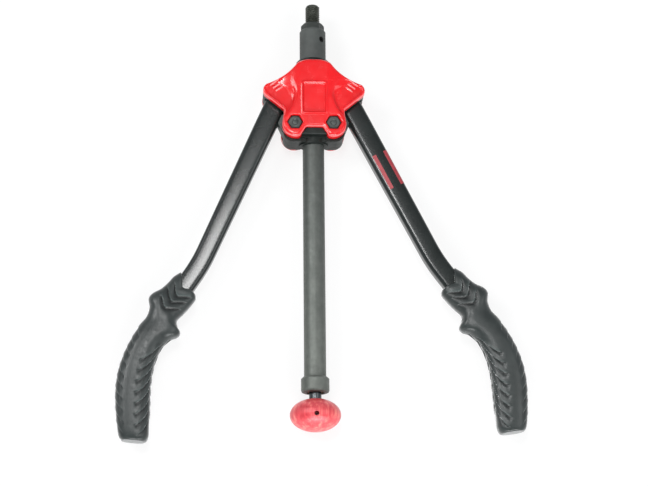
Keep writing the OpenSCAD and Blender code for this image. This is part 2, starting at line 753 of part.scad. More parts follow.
module mandrel() color(steel) {
    r = mandrel_d/2;
    turned([[0, coupler_front - 6], [shank_r, coupler_front - 6], [shank_r, 0],
        [r, 0], [r, mandrel_out - mandrel_chamfer], [r - mandrel_chamfer, mandrel_out],
        [0, mandrel_out]]);
}

module mandrel_coupler() color(steel) difference() {
    along_y(coupler_r, coupler_back, coupler_front);
    along_y(shank_r + seat_gap, coupler_front - 6, coupler_front + overcut);
    along_y(rod_d/2 + seat_gap, coupler_back - overcut, coupler_front - 5);
}

module spindle() color(steel) {
    difference() {
        union() {
            along_y(rod_d/2, collar_back, coupler_front - 6);
            along_y(spindle_d/2, knob_mid - 6, collar_back);
        }
        knob_hole(knob_pin_d/2 + seat_gap);
    }
}

module thrust_collar() color(steel) difference() {
    along_y(tube_bore - free_gap, collar_back, collar_front);
    along_y(rod_d/2 + seat_gap, collar_back - overcut, collar_front + overcut);
}

// Upright cylinder through the knob's upper half and the spindle
module knob_hole(r) {
    translate([0, pin_y, -spindle_d/2 - pin_out])
        cylinder(r = r, h = knob_d/2 + spindle_d/2 + pin_out + overcut);
}

// Knob shaped like a flattened ball, with a blunt edge
module knob() color(knob_red) difference() {
    turned(concat([[0, knob_mid - knob_len/2]],
        [for (i = [-12:11]) let (a = 7*i + 3.5, y = knob_len/2*pow(abs(sin(a)), knob_bulge))
            [knob_d/2*pow(cos(a), knob_bulge), knob_mid + (i < 0 ? -y : y)]],
        [[0, knob_front]]));
    along_y(spindle_d/2 + seat_gap, knob_mid - 6, knob_front + overcut);
    knob_hole(knob_pin_d/2 + seat_gap);
}
knob_bulge = 1;

module knob_pin() color(steel)
    translate([0, pin_y, -spindle_d/2 - pin_out])
        cylinder(d = knob_pin_d, h = spindle_d + 2*pin_out);
pin_out = 3.5;

center_frame();
front_cover();
rear_cover();
pivot_bolts();
pivot_nuts();
pivot_washers();
rear_tube();
thrust_washer();
tube_circlip();
end_ring();
rear_bush();
left_sector();
left_bush();
left_arm_tube();
left_grip();
right_sector();
right_bush();
right_arm_tube();
right_grip();
rack_sleeve();
nose_sleeve();
nosepiece();
lock_screw();
mandrel();
mandrel_coupler();
spindle();
thrust_collar();
knob();
knob_pin();
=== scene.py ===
import bpy
import bmesh
import math
import numpy as np
from mathutils import Matrix, Vector


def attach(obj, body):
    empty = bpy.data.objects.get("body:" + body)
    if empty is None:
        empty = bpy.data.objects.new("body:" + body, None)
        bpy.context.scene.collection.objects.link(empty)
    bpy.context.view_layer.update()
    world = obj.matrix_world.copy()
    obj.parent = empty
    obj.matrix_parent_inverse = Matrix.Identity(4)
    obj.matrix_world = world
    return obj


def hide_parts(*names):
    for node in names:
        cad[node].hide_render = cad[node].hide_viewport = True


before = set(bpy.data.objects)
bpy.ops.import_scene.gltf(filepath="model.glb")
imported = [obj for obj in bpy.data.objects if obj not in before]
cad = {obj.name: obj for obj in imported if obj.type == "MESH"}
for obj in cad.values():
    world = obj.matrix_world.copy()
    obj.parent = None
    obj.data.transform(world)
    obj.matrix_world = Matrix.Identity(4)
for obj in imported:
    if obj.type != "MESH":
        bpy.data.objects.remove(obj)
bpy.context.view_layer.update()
mm = 0.001


def hexColour(code):
    def toLinear(value):
        value /= 255
        return value / 12.92 if value <= 0.04045 else ((value + 0.055) / 1.055) ** 2.4
    return tuple(toLinear(int(code[i:i + 2], 16)) for i in (1, 3, 5)) + (1.0,)


# Adds a node with its settings and links. A ramp's stops give a place and a hex colour, a grey level or a tint.
def addNode(material, kind, settings=None, links=None, stops=()):
    node = material.node_tree.nodes.new("ShaderNode" + kind)
    for name, value in (settings or {}).items():
        if isinstance(name, str) and name not in node.inputs:
            setattr(node, name, value)
        else:
            node.inputs[name].default_value = value
    for name, socket in (links or {}).items():
        material.node_tree.links.new(socket, node.inputs[name])
    while stops and len(node.color_ramp.elements) < len(stops):
        node.color_ramp.elements.new(0.5)
    for number, (place, colour) in enumerate(stops):
        stop = node.color_ramp.elements[number]
        stop.position = place
        if isinstance(colour, str):
            colour = hexColour(colour)
        stop.color = colour if isinstance(colour, tuple) else (colour, colour, colour, 1)
    return node


def plugIn(material, socket, target):
    material.node_tree.links.new(socket, target)


def newMaterial(name, surface):
    material = bpy.data.materials.new(name)
    material.use_nodes = True
    shader = material.node_tree.nodes["Principled BSDF"]
    for socket, value in surface.items():
        shader.inputs[socket].default_value = value
    return material, shader


# A grain of the given size in mm: noise on the piece's own coordinates, in metres
def grain(material, size, detail, stretch=(1, 1, 1), lift=0.5):
    place = addNode(material, "TexCoord")
    scaled = addNode(material, "Mapping", {"Scale": stretch}, {"Vector": place.outputs["Object"]})
    return addNode(material, "TexNoise",
                   {"Scale": 1 / (size * mm), "Detail": detail, "Roughness": lift},
                   {"Vector": scaled.outputs["Vector"]}).outputs["Fac"]


# A finish: tone is the colour's drift over a grain, gloss the roughness's, and relief is a grain with its
# depth in mm. Each grain is given as its size in mm, its detail and, where needed, its stretch and lift.
def makeFinish(name, surface, tone, relief, gloss=None):
    material, shader = newMaterial(name, surface)
    for drift, socket in ((tone, "Base Color"), (gloss, "Roughness")):
        if drift:
            ramp = addNode(material, "ValToRGB", {}, {"Fac": grain(material, *drift[0])}, drift[1])
            plugIn(material, ramp.outputs["Color"], shader.inputs[socket])
    bump = addNode(material, "Bump", {"Strength": 1.0, "Distance": relief[1] * mm},
                   {"Height": grain(material, *relief[0])})
    plugIn(material, bump.outputs["Normal"], shader.inputs["Normal"])
    return material


# Lays a second colour over the one that a finish has
def layOver(material, settings, links):
    base = material.node_tree.nodes["Principled BSDF"].inputs["Base Color"]
    mix = addNode(material, "Mix", {"data_type": "RGBA", **settings},
                  {"A": base.links[0].from_socket, **links})
    plugIn(material, mix.outputs["Result"], base)


turningMarks = (0.05, 1, 0.05)  # a grain drawn out into rings round the y axis
flowMarks = (1, 0.07, 1)  # and one drawn out along it


# Red enamel baked on a die-cast aluminium cover: wet gloss over a faint orange peel
def makeCoverEnamel():
    material = makeFinish(
        "redBakedEnamel",
        {"Roughness": 0.24, "Specular IOR Level": 0.35, "Coat Weight": 0.35, "Coat Roughness": 0.08, "IOR": 1.5},
        tone=((22, 2), [(0.3, "#CC0B11"), (0.7, "#DB171D")]), relief=((1.8, 2), 0.025),
        gloss=((7, 4), [(0.35, 0.2), (0.7, 0.3)]))
    # painted highlight: the enamel is coloured lighter along the sharp rim
    rim = addNode(material, "Attribute", {"attribute_name": "rim"})
    layOver(material, {"B": hexColour("#F0787A")}, {"Factor": rim.outputs["Fac"]})
    return material


# Steel tube, bead-blasted and phosphated: soft dark grey
def makePhosphatedSteel():
    material = makeFinish(
        "phosphatedSteel", {"Metallic": 0.4, "Roughness": 0.48},
        tone=((6, 4), [(0.25, "#434744"), (0.75, "#4F5350")]), relief=((0.7, 3), 0.02),
        gloss=((2.5, 4), [(0.3, 0.42), (0.7, 0.56)]))
    # painted light: the colour grows lighter from the head towards the knob, where more light falls
    place = addNode(material, "TexCoord")
    along = addNode(material, "SeparateXYZ", {}, {"Vector": place.outputs["Object"]})
    paintedLightShare = addNode(material, "MapRange", {"From Min": -0.11, "From Max": -0.31},
                   {"Value": along.outputs["Y"]})
    paintedLightTone = addNode(material, "ValToRGB", {}, {"Fac": grain(material, 6, 4)},
                     [(0.25, "#565A55"), (0.75, "#666A65")])
    layOver(material, {}, {"Factor": paintedLightShare.outputs["Result"], "B": paintedLightTone.outputs["Color"]})
    return material


# Soft PVC moulded over the arms: dark grey, a skin polished by the mould and by hands
def makeGripRubber():
    material = makeFinish(
        "mouldedGripRubber", {"Roughness": 0.42, "IOR": 1.5, "Sheen Weight": 1.0, "Sheen Roughness": 0.3},
        tone=((12, 4), [(0.25, "#1E2423"), (0.75, "#2A302F")]), relief=((0.6, 2), 0.03),
        gloss=((3, 4), [(0.3, 0.32), (0.7, 0.46)]))
    # painted shade darkens the grooves, and a painted highlight lightens the lips beside them
    mark = addNode(material, "Attribute", {"attribute_name": "mark"})
    level = addNode(material, "MapRange", {"From Min": -1.2, "From Max": 0.5},
                    {"Value": mark.outputs["Fac"]})
    paintedShadeAndHighlight = addNode(material, "ValToRGB", {}, {"Fac": level.outputs["Result"]},
                   [(0.1, 0.3), (0.66, 1.0), (0.72, 1.0), (0.92, 2.8)])
    layOver(material, {"blend_type": "MULTIPLY", "Factor": 1.0}, {"B": paintedShadeAndHighlight.outputs["Color"]})
    return material


# Black oxide on turned steel: near black with an oily sheen and turning marks
def makeBlackOxide(name, light, dark, ring, shine):
    return makeFinish(name, {"Metallic": 0.6, "Roughness": shine},
                      tone=((5, 4), [(0.25, dark), (0.75, light)]), relief=((ring, 2, turningMarks), 0.008),
                      gloss=((2, 4), [(0.3, shine - 0.08), (0.7, shine + 0.1)]))


coverEnamel = makeCoverEnamel()
phosphated = makePhosphatedSteel()
gripRubber = makeGripRubber()
blackOxide = makeBlackOxide("blackOxideSteel", "#4C4F48", "#383B34", 0.35, 0.38)
anvilOxide = makeBlackOxide("blackOxideAnvil", "#3A3E3C", "#2C302E", 0.5, 0.45)
# the lock screw is coloured near black as painted shade, so that its hole in the sleeve reads dark
screwPaintedShadeOxide = makeBlackOxide("blackOxideScrewPaintedShade", "#1C1F1E", "#121413", 0.5, 0.6)
boltOxide = makeBlackOxide("blackOxideBolt", "#4A4F4D", "#383C3A", 0.5, 0.45)

# The raised bars' enamel, coloured lighter than the covers' as a painted highlight
barHighlightEnamel = makeFinish(
    "redEnamelPaintedHighlight", {"Roughness": 0.3, "IOR": 1.5, "Coat Weight": 0.3},
    tone=((1.6, 4), [(0.35, "#F2686C"), (0.65, "#F79A9A")]), relief=((1.2, 2), 0.02))

# Black paint over cast aluminium: satin, with the sand's grain under it
castPaint = makeFinish(
    "blackPaintedCasting", {"Roughness": 0.42, "IOR": 1.5, "Specular IOR Level": 0.15},
    tone=((9, 3), [(0.3, "#151A18"), (0.7, "#202523")]), relief=((0.9, 3), 0.06),
    gloss=((4, 4), [(0.3, 0.36), (0.7, 0.5)]))

# Manganese phosphate on the sliding sleeve: an even, dull grey that holds oil
parkerised = makeFinish(
    "parkerisedSleeve", {"Metallic": 0.2, "Roughness": 0.62, "IOR": 1.5},
    tone=((6, 5), [(0.25, "#414543"), (0.75, "#4C504E")]), relief=((0.5, 3), 0.02))

# Ground and oiled steel shaft: bright, with fine rings round it
groundSteel = makeFinish(
    "groundSteel", {"Metallic": 1.0, "Roughness": 0.22},
    tone=((5, 3), [(0.25, "#8A8E92"), (0.75, "#A9ACAF")]), relief=((0.3, 2, turningMarks), 0.006))

# Oiled bar of the spindle: dark, with a sharp streak of light along it
oiledBar = makeFinish(
    "oiledSteelBar", {"Metallic": 0.9, "Roughness": 0.28},
    tone=((4, 3), [(0.25, "#3E4244"), (0.75, "#54585A")]), relief=((0.3, 2, turningMarks), 0.006))

# Sintered bronze of the bushes: warm and dull
bronze = makeFinish(
    "sinteredBronze", {"Metallic": 1.0, "Roughness": 0.4},
    tone=((2, 4), [(0.25, "#8F6A3C"), (0.75, "#B48A52")]), relief=((0.4, 2), 0.015))

# Black gloss enamel sprayed on steel tube: deep black, with a sheen that the spray's ripple breaks up
armEnamel = makeFinish(
    "blackGlossEnamel",
    {"Roughness": 0.24, "Specular IOR Level": 0.3, "Coat Weight": 0.3, "Coat Roughness": 0.16, "IOR": 1.5},
    tone=((15, 2), [(0.3, "#151A19"), (0.7, "#1D2221")]), relief=((2.2, 2), 0.03))

# Red vinyl tape, thin and satin, printed a little unevenly
vinyl = makeFinish(
    "redVinylTape", {"Roughness": 0.4, "IOR": 1.5},
    tone=((4, 3), [(0.3, "#8C2A31"), (0.7, "#A1383F")]), relief=((1.5, 2), 0.01))

# Pearl pigment in red ABS: the moulding's flow drew the flakes into soft streaks
knobPearl = makeFinish(
    "pearlRedAbs", {"Metallic": 0.1, "Roughness": 0.46, "Coat Weight": 0.4, "Coat Roughness": 0.34},
    tone=((3.2, 3, flowMarks, 0.6), [(0.3, "#B92A34"), (0.48, "#D0434B"), (0.7, "#E57F74")]),
    relief=((0.5, 2), 0.01))
print("materials made")

finishes = (
    (castPaint, "center_frame"), (coverEnamel, "front_cover rear_cover"), (phosphated, "rear_tube end_ring"),
    (boltOxide, "pivot_bolts pivot_nuts tube_circlip left_sector right_sector"),
    (bronze, "pivot_washers thrust_washer rear_bush left_bush right_bush"), (parkerised, "nose_sleeve"),
    (groundSteel, "rack_sleeve thrust_collar knob_pin"), (anvilOxide, "nosepiece"), (screwPaintedShadeOxide, "lock_screw"),
    (blackOxide, "mandrel mandrel_coupler"), (oiledBar, "spindle"), (knobPearl, "knob"),
    (armEnamel, "left_arm_tube right_arm_tube"), (gripRubber, "left_grip right_grip"),
)
for material, names in finishes:
    for name in names.split():
        if not cad[name].material_slots:
            cad[name].data.materials.append(material)
        for slot in cad[name].material_slots:
            slot.material = material


def toMesh(name, bm):
    mesh = bpy.data.meshes.new(name)
    bm.to_mesh(mesh)
    bm.free()
    return mesh


def addObject(name, data):
    item = bpy.data.objects.new(name, data)
    bpy.context.scene.collection.objects.link(item)
    return item


# Shapes are made in mm and end in metres, smooth but for the edges past the crease angle
def finishPiece(name, bm, material, creaseAngle):
    bmesh.ops.recalc_face_normals(bm, faces=bm.faces)
    bmesh.ops.scale(bm, vec=(mm, mm, mm), verts=bm.verts)
    limit = math.radians(creaseAngle)
    for face in bm.faces:
        face.smooth = True
    for edge in bm.edges:
        edge.smooth = len(edge.link_faces) == 2 and edge.calc_face_angle() < limit
    mesh = toMesh(name, bm)
    mesh.materials.append(material)
    return addObject(name, mesh)


# A skin through rings of points: a circle is extruded from ring to ring. Marks are
# one number for each point, kept on the mesh for the material.
def skinThroughRings(rings, capEnds=True, marks=None):
    bm = bmesh.new()
    layer = bm.verts.layers.float.new("mark") if marks else None
    count = len(rings[0])
    verts = bmesh.ops.create_circle(bm, cap_ends=False, segments=count, radius=1)["verts"]

    def ringEdges():
        return [bm.edges.get((verts[i], verts[(i + 1) % count])) for i in range(count)]
    for number, ring in enumerate(rings):
        if number:
            made = bmesh.ops.extrude_edge_only(bm, edges=ringEdges())["geom"]
            fresh = {g for g in made if isinstance(g, bmesh.types.BMVert)}
            verts = [next(e.other_vert(v) for e in v.link_edges if e.other_vert(v) in fresh) for v in verts]
        for i, (vert, place) in enumerate(zip(verts, ring)):
            vert.co = place
            if marks:
                vert[layer] = marks[number][i]
        if capEnds and number == 0:
            bmesh.ops.contextual_create(bm, geom=list(bm.edges))
    if capEnds:
        bmesh.ops.contextual_create(bm, geom=ringEdges())
    return bm


# Smooth curve through knots, as the CAD draws it
def smoothCurve(knots, t):
    i = min(int(t), len(knots) - 2)
    t -= i
    a, b, c, d = (knots[max(0, min(len(knots) - 1, i + k))] for k in (-1, 0, 1, 2))
    return (2 * b + (c - a) * t + (2 * a - 5 * b + 4 * c - d) * t * t + (3 * b - a - 3 * c + d) * t ** 3) / 2


def smoothStep(low, high, value):
    value = np.clip((value - low) / (high - low), 0, 1)
    return value * value * (3 - 2 * value)


# Rings of points round an upright axis: each row gives a radius and a height, or a function of the angle
def ringsAround(centre, rows, count, axis="z"):
    rings = []
    for row in rows:
        ring = []
        for k in range(count):
            angle = 360 * k / count
            radius, height = row(angle) if callable(row) else row
            a = math.radians(angle)
            x, y = radius * math.cos(a), radius * math.sin(a)
            point = Vector((x, y, height)) if axis == "z" else Vector((x, height, y))
            ring.append(Vector(centre) + point)
        rings.append(ring)
    return rings


# How far a hexagon reaches at an angle, with corners at 0 degrees
def hexReach(angle, acrossFlats):
    return acrossFlats / 2 / math.cos(math.radians(angle % 60 - 30))


def joinMeshes(target, source):
    mesh = toMesh("part", source)
    target.from_mesh(mesh)
    bpy.data.meshes.remove(mesh)


def spot(centre, radius, degrees):
    a = math.radians(degrees)
    return (centre[0] + radius * math.cos(a), centre[1] + radius * math.sin(a))


def bearing(centre, point):
    return math.degrees(math.atan2(point[1] - centre[1], point[0] - centre[0]))


def arcPoints(centre, radius, start, end, steps):
    return [spot(centre, radius, start + (end - start) * i / steps) for i in range(steps + 1)]


# Where a line from the point touches a circle
def touchPoint(point, centre, radius, way):
    away = math.dist(point, centre)
    turn = bearing(point, centre) + way * math.degrees(math.asin(radius / away))
    return spot(point, math.sqrt(away ** 2 - radius ** 2), turn)


# Where a line leaves a circle
def leaveCircle(start, through, centre, radius):
    way = (Vector(through) - Vector(start)).normalized()
    off = Vector(start) - Vector(centre)
    b = off.dot(way)
    return tuple(Vector(start) + way * (-b + math.sqrt(b * b - off.length_squared + radius ** 2)))


# Arc from a to b that bows to the right by sag
def bowedLine(a, b, sag, steps):
    half = math.dist(a, b) / 2
    radius = (half ** 2 + sag ** 2) / (2 * sag)
    way = (Vector(b) - Vector(a)) / (2 * half)
    centre = (Vector(a) + Vector(b)) / 2 + Vector((-way.y, way.x)) * (radius - sag)
    start = bearing(centre, a)
    return arcPoints(centre, radius, start, start + 2 * math.degrees(math.asin(half / radius)), steps)


# Die-cast covers: cut from the outline, sliced into a grid, then raised to the casting's height
cover = {
    "pivotX": 16.0, "pivotY": -94.0, "seat": 11.5, "wingTop": 17.9, "coreTop": 20.2,
    # the outline's right half, and how finely its arcs are cut
    "wingTip": (36.0, -65.3), "wingRadius": 6.5, "waist": (24.9, -82.6), "waistSoft": (0.35, 0.1),
    "waistShare": 0.275, "lobe": (15.6, -95.0), "lobeRadius": 11.1, "rearLobeDrop": 1.2,
    "notchHalf": 7.0, "notchY": -97.9, "notchFoot": (12.2, -106.0), "notchSoft": 1.0, "notchBend": (0.3, 0.12),
    "shoulder": (14.3, -41.9), "shoulderBow": 2.2,
    "frontCorner": [(13.3, -41.0), (12, -40.2), (10.6, -39.6), (9, -39.15), (5, -38.6)],
    "lobeSteps": 30, "shoulderSteps": 24, "wingSteps": 22, "coreSteps": 24, "knotSteps": 8,
    # the raised middle's right side: an arc round the lobe, then knots
    "coreInset": 0.2, "coreArcTo": 14.0, "rearArcTo": 3.0,
    "coreSide": [(25.7, -89), (22, -84.5), (18.6, -79), (16.9, -73), (16.6, -67), (17.6, -61.5), (20.4, -57),
                 (25, -54), (31, -52)],
    "coreCorners": [(32, -40), (20, -30)],
    # its dome, which takes over between two places on the way to the front, and the edges' radii
    "domeSpread": (-75, -61), "domeFall": 2.3, "domeFrom": 10.0, "domeTo": 26.0, "domeEvens": 0.93,
    "wingEdge": 1.6, "coreEdge": 2.3, "coreEdgeFront": 5.5, "coreRim": 2.2, "sideSlope": 2.5, "slopeLoss": 2.4,
    "blend": 1.2, "notchEdge": 0.9, "notchStrip": 3.0, "notchDrop": 0.2,
    # the front's barrel shape over the nose
    "barrelDrop": 0.3, "barrelFlare": 1.1, "barrelLeast": 10.0, "barrelFrom": -46, "barrelOver": 0.1,
    # the wings' sunk field, then the sunk panel with its lip
    "fieldDip": 0.8, "fieldRim": 2.2, "fieldStart": 0.4, "fieldEnd": 0.3, "fieldSide": (0.2, 1.4), "fieldWiden": 6,
    "panel": (0.0, -72.6), "panelSize": (19.0, 26.0), "panelCorner": 1.2, "panelDepth": 1.0, "panelSlope": 1.0,
    "lipWidth": 1.3, "lipHeight": 0.5, "lipRise": (-0.2, 0.35), "lipFall": 0.5,
    "pocket": 11.5, "pocketFloor": 14.0, "pocketEdge": 0.9, "pocketNear": 8, "pocketSnap": 0.05,
    "barCount": 3, "barPitch": 3.4, "barInset": 6.0, "barLength": 9.0, "barWidth": 1.3, "barHeight": 0.85,
    # the mesh: rings along the edge, a grid, and extra cuts beside the panel's edge; then the painted highlight
    # along the rim and its fading
    "rimRings": (0.3, 0.35, 0.45, 0.6), "grid": 0.6, "rearGrid": 1.3, "gridSpan": ((-42.4, 42.4), (-109, -38.7)),
    "panelCuts": (-0.9, -0.45, 0, 0.4, 1.1), "rimHighlight": 0.8, "rimFade": (0.2, 0.9),
}


def mirrored(half):
    return half + [(-x, y) for x, y in reversed(half)]


# Right halves of the cover's edge, of the raised middle's edge and of the notch, and the shoulder's direction
def coverLines(drop):
    c = cover
    waist, tip, shoulder = c["waist"], c["wingTip"], c["shoulder"]
    lobe = (c["lobe"][0], c["lobe"][1] - drop)
    notch = (c["notchHalf"], c["notchY"])
    foot = (c["notchFoot"][0], c["notchFoot"][1] - drop)
    notchEnd = leaveCircle(notch, foot, lobe, c["lobeRadius"])
    lobeEnd = touchPoint(waist, lobe, c["lobeRadius"], 1)
    wingLow = touchPoint(waist, tip, c["wingRadius"], -1)
    wingHigh = touchPoint(shoulder, tip, c["wingRadius"], 1)
    soft, bend = c["notchSoft"], c["notchBend"]
    corner = Vector(notch) + (Vector(notchEnd) - Vector(notch)).normalized() * soft
    notchLine = [(notch[0] - soft, notch[1]), (notch[0] - soft * bend[0], notch[1] - soft * bend[1]),
                 tuple(corner)]
    edge = notchLine + arcPoints(lobe, c["lobeRadius"], bearing(lobe, notchEnd), bearing(lobe, lobeEnd),
                                 c["lobeSteps"])
    edge.append(tuple(w + c["waistShare"] * (l - w) for w, l in zip(waist, lobeEnd)))
    edge.append((waist[0] + c["waistSoft"][0], waist[1] + c["waistSoft"][1]))
    edge += arcPoints(tip, c["wingRadius"], bearing(tip, wingLow), bearing(tip, wingHigh), c["wingSteps"])
    edge += bowedLine(shoulder, wingHigh, c["shoulderBow"], c["shoulderSteps"])[-2::-1] + c["frontCorner"]
    knots = [Vector(p) for p in c["coreSide"]]
    spans = len(knots) - 1
    steps = c["knotSteps"] * spans
    core = arcPoints(lobe, c["lobeRadius"] - c["coreInset"], bearing(lobe, notchEnd) + 1,
                     c["coreArcTo"] + c["rearArcTo"] * drop, c["coreSteps"])
    core += [tuple(smoothCurve(knots, spans * i / steps)) for i in range(steps + 1)]
    return {"edge": edge, "core": core, "notch": notchLine + [notchEnd],
            "shoulder": (Vector(wingHigh) - Vector(shoulder)).normalized()}


# Distance of many points from a line of points
def distanceTo(points, line, closed=False):
    line = np.array(line)
    starts, ends = (line, np.roll(line, -1, 0)) if closed else (line[:-1], line[1:])
    best = np.full(len(points), 1e9)
    for a, b in zip(starts, ends):
        ab = b - a
        if ab @ ab == 0:
            continue
        share = np.clip((points - a) @ ab / (ab @ ab), 0, 1)
        best = np.minimum(best, np.linalg.norm(points - a - share[:, None] * ab, axis=1))
    return best


def insideOf(points, outline):
    outline = np.array(outline)
    inside = np.zeros(len(points), bool)
    x, y = points[:, 0], points[:, 1]
    for a, b in zip(outline, np.roll(outline, -1, 0)):
        if a[1] != b[1]:
            inside ^= ((a[1] > y) != (b[1] > y)) & (x < (b[0] - a[0]) * (y - a[1]) / (b[1] - a[1]) + a[0])
    return inside


# How far a rounded edge has dropped at a distance from the edge
def edgeDrop(distance, radius):
    return radius - np.sqrt(np.maximum(radius ** 2 - np.clip(radius - distance, 0, radius) ** 2, 0))


def softMax(a, b, reach):
    share = np.clip(0.5 + 0.5 * (a - b) / reach, 0, 1)
    return b + (a - b) * share + reach * share * (1 - share) * 0.5


# Distance from a box with rounded corners, less than 0 inside it
def toBox(points, centre, size, corner):
    q = np.abs(points - np.array(centre)) - np.array(size) / 2 + corner
    return np.linalg.norm(np.maximum(q, 0), axis=1) + np.minimum(np.maximum(q[:, 0], q[:, 1]), 0) - corner


# Distance from the nearer of the two hexagonal pockets, less than 0 inside it
def toPockets(points):
    nearest = np.full(len(points), 1e9)
    for side in (-1, 1):
        centre = np.array((side * cover["pivotX"], cover["pivotY"]))
        reach = np.full(len(points), -1e9)
        for angle in (30, 90, 150):
            way = np.array((math.cos(math.radians(angle)), math.sin(math.radians(angle))))
            reach = np.maximum(reach, np.abs((points - centre) @ way) - cover["pocket"] / 2)
        nearest = np.minimum(nearest, reach)
    return nearest


def coverHeight(points, drop):
    c = cover
    lines = coverLines(drop)
    x, y = points[:, 0], points[:, 1]
    toEdge = distanceTo(points, mirrored(lines["edge"]), True)
    core = lines["core"]
    toSide = np.minimum(distanceTo(points, core), distanceTo(points, [(-px, py) for px, py in core]))
    toSide = np.where(insideOf(points, mirrored(core + c["coreCorners"])), toSide, -toSide)
    inward, outward = np.maximum(toSide, 0), np.minimum(toSide, 0)
    # towards the front the middle body spreads into one dome, and its edge fades out on the shoulders
    toFront = smoothStep(*c["domeSpread"], y)
    radius = c["coreEdge"] + (c["coreEdgeFront"] - c["coreEdge"]) * toFront
    top = c["coreTop"] - c["domeFall"] * smoothStep(c["domeFrom"], c["domeTo"], np.abs(x)) * toFront
    middle = (top - edgeDrop(inward, radius) * (1 - c["domeEvens"] * toFront)
              + outward * (c["sideSlope"] - c["slopeLoss"] * toFront))
    middle = np.minimum(middle, top - edgeDrop(toEdge, c["coreRim"]))
    # the wings' field is sunk between a rim along the edge and the middle body's side
    field = (smoothStep(c["fieldRim"] - c["fieldStart"], c["fieldRim"] + c["fieldEnd"], toEdge)
             * smoothStep(c["fieldSide"][0], c["fieldSide"][1] + c["fieldWiden"] * toFront, -toSide))
    wing = c["wingTop"] - edgeDrop(toEdge, c["wingEdge"]) - c["fieldDip"] * field
    height = softMax(middle, wing, c["blend"])
    # a full-height strip lies round the notch
    toNotch = distanceTo(points, mirrored(lines["notch"][::-1])[::-1])
    strip = c["coreTop"] - c["notchDrop"] - edgeDrop(toNotch, c["notchEdge"]) - edgeDrop(inward, c["coreEdge"])
    height = np.where(toNotch < c["notchStrip"], np.maximum(height, strip), height)
    # the front is rounded over the nose like a barrel
    barrel = (c["coreTop"] - c["barrelDrop"]
              + c["barrelFlare"] * np.maximum(0, c["frontCorner"][-1][1] - y))
    barrel = np.sqrt(np.maximum(barrel ** 2 - x ** 2, c["barrelLeast"] ** 2))
    height = -softMax(-height, -barrel, c["blend"])
    height = np.where(y > c["barrelFrom"], np.minimum(height, barrel + c["barrelOver"]), height)
    toPanel = toBox(points, c["panel"], c["panelSize"], c["panelCorner"])
    lip = (smoothStep(*c["lipRise"], toPanel)
           * (1 - smoothStep(c["lipWidth"] - c["lipFall"], c["lipWidth"] + c["lipFall"], toPanel)))
    sunk = 1 - smoothStep(-c["panelSlope"], 0.0, toPanel)
    height = height + c["lipHeight"] * lip - c["panelDepth"] * sunk
    return height - edgeDrop(np.maximum(toPockets(points), 0), c["pocketEdge"])


def makeCover(name, way, drop, pitch):
    c = cover
    outline = mirrored(coverLines(drop)["edge"])
    bm = bmesh.new()
    verts = bmesh.ops.create_circle(bm, cap_ends=False, segments=len(outline), radius=1)["verts"]
    for vert, place in zip(verts, outline):
        vert.co = (*place, 0)
    bmesh.ops.contextual_create(bm, geom=list(bm.edges))
    for width in c["rimRings"]:
        core = max(bm.faces, key=lambda face: face.calc_area())
        bmesh.ops.inset_region(bm, faces=[core], thickness=width, use_even_offset=True, use_boundary=True)
    # a grid of cuts, with extra ones where the sunk panel's edge needs them
    for axis, (low, high) in enumerate(c["gridSpan"]):
        places = {round(low + pitch * i, 3) for i in range(int((high - low) / pitch) + 1)}
        if way > 0:
            middle, half = c["panel"][axis], c["panelSize"][axis] / 2
            places |= {round(middle + s * (half + d), 3) for s in (-1, 1) for d in c["panelCuts"]}
        for place in sorted(places):
            point, normal = [0, 0, 0], [0, 0, 0]
            point[axis], normal[axis] = place, 1
            bmesh.ops.bisect_plane(bm, geom=bm.verts[:] + bm.edges[:] + bm.faces[:], dist=1e-4,
                                   plane_co=point, plane_no=normal)
    # the pockets' six sides, cut only near the pocket
    for side in (-1, 1):
        middle = Vector((side * c["pivotX"], c["pivotY"], 0))
        for turn in range(30, 390, 60):
            normal = Vector((math.cos(math.radians(turn)), math.sin(math.radians(turn)), 0))
            near = [f for f in bm.faces if (f.calc_center_median() - middle).length < c["pocketNear"]]
            geom = set(near) | {e for f in near for e in f.edges} | {v for f in near for v in f.verts}
            bmesh.ops.bisect_plane(bm, geom=list(geom), dist=1e-4, plane_co=middle + normal * c["pocket"] / 2,
                                   plane_no=normal)
    centres = np.array([f.calc_center_median()[:2] for f in bm.faces])
    holes = [f for f, reach in zip(list(bm.faces), toPockets(centres)) if reach < 0]
    bmesh.ops.delete(bm, geom=holes, context="FACES")
    heights = coverHeight(np.array([v.co[:2] for v in bm.verts]), drop)
    for vert, height in zip(bm.verts, heights):
        vert.co.z = height
    # walls down to the frame, and down to the bolts' seats
    made = bmesh.ops.extrude_edge_only(bm, edges=[e for e in bm.edges if e.is_boundary])["geom"]
    lower = [g for g in made if isinstance(g, bmesh.types.BMVert)]
    for vert, reach in zip(lower, toPockets(np.array([v.co[:2] for v in lower]))):
        vert.co.z = c["pocketFloor"] if reach < c["pocketSnap"] else c["seat"]
    bmesh.ops.holes_fill(bm, edges=[e for e in bm.edges if e.is_boundary], sides=0)
    # how much painted highlight each face gets: most on the outermost ring of the top, and none on the flat
    # underside
    rimHighlightLayer = bm.faces.layers.float.new("rim")
    tops = [f for f in bm.faces if abs(f.normal.z) > 0.02]
    toRim = distanceTo(np.array([f.calc_center_median()[:2] for f in tops]), outline, True)
    for face, distance in zip(tops, toRim):
        paintedLightShare = c["rimHighlight"] * (1 - smoothStep(*c["rimFade"], distance))
        face[rimHighlightLayer] = float(paintedLightShare) if len(face.verts) < 9 else 0.0
    if way < 0:
        bmesh.ops.scale(bm, vec=(1, 1, -1), verts=bm.verts)
    return finishPiece(name, bm, coverEnamel, 40)


